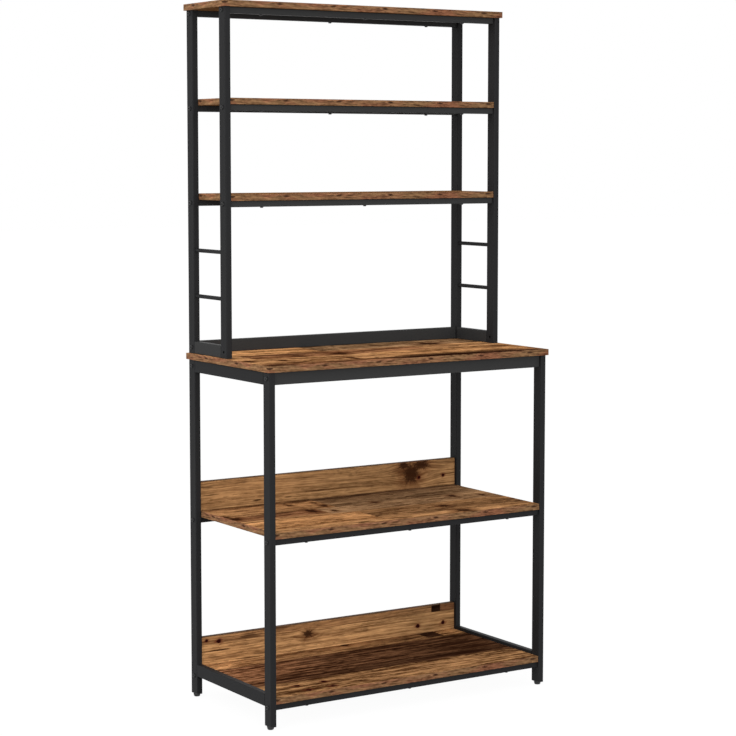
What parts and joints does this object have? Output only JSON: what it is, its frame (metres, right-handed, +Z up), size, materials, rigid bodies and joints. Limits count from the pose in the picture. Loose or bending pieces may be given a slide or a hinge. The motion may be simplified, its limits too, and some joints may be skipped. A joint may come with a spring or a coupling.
{
  "type": "kitchen shelf",
  "caption": "Free-standing kitchen shelf: tube frame with a deep worktop and shelves below, a shallow hutch above, hook rods at its sides and levelling feet.",
  "frame": {"origin": "on the floor, under the centre of the worktop", "axes": "+Z up, +X to the right seen from the front, +Y to the back, so the front faces -Y"},
  "size_m": [0.8, 0.4, 1.684],
  "materials": {
    "steel": "matt charcoal powder coat",
    "laminate": "matt rustic wood-look laminate",
    "black_fastener": "black coated steel",
    "zinc": "zinc plated steel",
    "plastic": "fine moulded black"
  },
  "bodies": {
    "frame": {"base_front_left_leg": "steel", "hutch_front_left_post": "steel", "base_rear_left_leg": "steel", "hutch_rear_left_post": "steel", "base_left_bottom_rail": "steel", "base_left_top_rail": "steel", "hutch_left_guard": "steel", "hutch_left_lower_rod": "steel", "hutch_left_upper_rod": "steel", "base_front_right_leg": "steel", "hutch_front_right_post": "steel", "base_rear_right_leg": "steel", "hutch_rear_right_post": "steel", "base_right_bottom_rail": "steel", "base_right_top_rail": "steel", "hutch_right_guard": "steel", "hutch_right_lower_rod": "steel", "hutch_right_upper_rod": "steel", "bottom_shelf_front_rail": "steel", "bottom_shelf_rear_rail": "steel", "middle_shelf_front_rail": "steel", "middle_shelf_rear_rail": "steel", "worktop_front_rail": "steel", "worktop_rear_rail": "steel", "lower_hutch_front_rail": "steel", "lower_hutch_rear_rail": "steel", "upper_hutch_front_rail": "steel", "upper_hutch_rear_rail": "steel", "top_board_front_rail": "steel", "top_board_rear_rail": "steel", "hutch_rear_guard": "steel", "worktop": "laminate", "middle_shelf": "laminate", "bottom_shelf": "laminate", "middle_back_board": "laminate", "bottom_back_board": "laminate", "lower_hutch_shelf": "laminate", "upper_hutch_shelf": "laminate", "top_board": "laminate", "rail_bolts": "black_fastener", "shelf_screws": "black_fastener", "worktop_screws": "black_fastener", "back_board_screws": "black_fastener", "hutch_bolts": "black_fastener", "square_rail_plugs": "zinc", "tall_rail_plugs": "zinc", "hutch_weld_nuts": "zinc", "front_left_leg_insert": "plastic", "front_right_leg_insert": "plastic", "rear_left_leg_insert": "plastic", "rear_right_leg_insert": "plastic"},
    "front_left_pad": {"front_left_foot_pad": "plastic"},
    "front_left_stud": {"front_left_foot_stud": "zinc"},
    "front_right_pad": {"front_right_foot_pad": "plastic"},
    "front_right_stud": {"front_right_foot_stud": "zinc"},
    "rear_left_pad": {"rear_left_foot_pad": "plastic"},
    "rear_left_stud": {"rear_left_foot_stud": "zinc"},
    "rear_right_pad": {"rear_right_foot_pad": "plastic"},
    "rear_right_stud": {"rear_right_foot_stud": "zinc"}
  },
  "joints": [
    {"name": "front_left_foot_level", "type": "slide", "parent": "frame", "child": "front_left_pad", "axis": [0, 0, -1], "range_m": [0, 0.01]},
    {"name": "front_left_stud_turn", "type": "hinge", "parent": "front_left_pad", "child": "front_left_stud", "pos_m": [-0.3875, -0.18, 0], "axis": [0, 0, -1], "range_deg": [-5, 3605]},
    {"name": "front_right_foot_level", "type": "slide", "parent": "frame", "child": "front_right_pad", "axis": [0, 0, -1], "range_m": [0, 0.01]},
    {"name": "front_right_stud_turn", "type": "hinge", "parent": "front_right_pad", "child": "front_right_stud", "pos_m": [0.3875, -0.18, 0], "axis": [0, 0, -1], "range_deg": [-5, 3605]},
    {"name": "rear_left_foot_level", "type": "slide", "parent": "frame", "child": "rear_left_pad", "axis": [0, 0, -1], "range_m": [0, 0.01]},
    {"name": "rear_left_stud_turn", "type": "hinge", "parent": "rear_left_pad", "child": "rear_left_stud", "pos_m": [-0.3875, 0.18, 0], "axis": [0, 0, -1], "range_deg": [-5, 3605]},
    {"name": "rear_right_foot_level", "type": "slide", "parent": "frame", "child": "rear_right_pad", "axis": [0, 0, -1], "range_m": [0, 0.01]},
    {"name": "rear_right_stud_turn", "type": "hinge", "parent": "rear_right_pad", "child": "rear_right_stud", "pos_m": [0.3875, 0.18, 0], "axis": [0, 0, -1], "range_deg": [-5, 3605]}
  ],
  "couplings": [
    {"joint": "front_left_stud_turn", "follows": "front_left_foot_level", "rad_per_m": 6283.2},
    {"joint": "front_right_stud_turn", "follows": "front_right_foot_level", "rad_per_m": 6283.2},
    {"joint": "rear_left_stud_turn", "follows": "rear_left_foot_level", "rad_per_m": 6283.2},
    {"joint": "rear_right_stud_turn", "follows": "rear_right_foot_level", "rad_per_m": 6283.2}
  ]
}
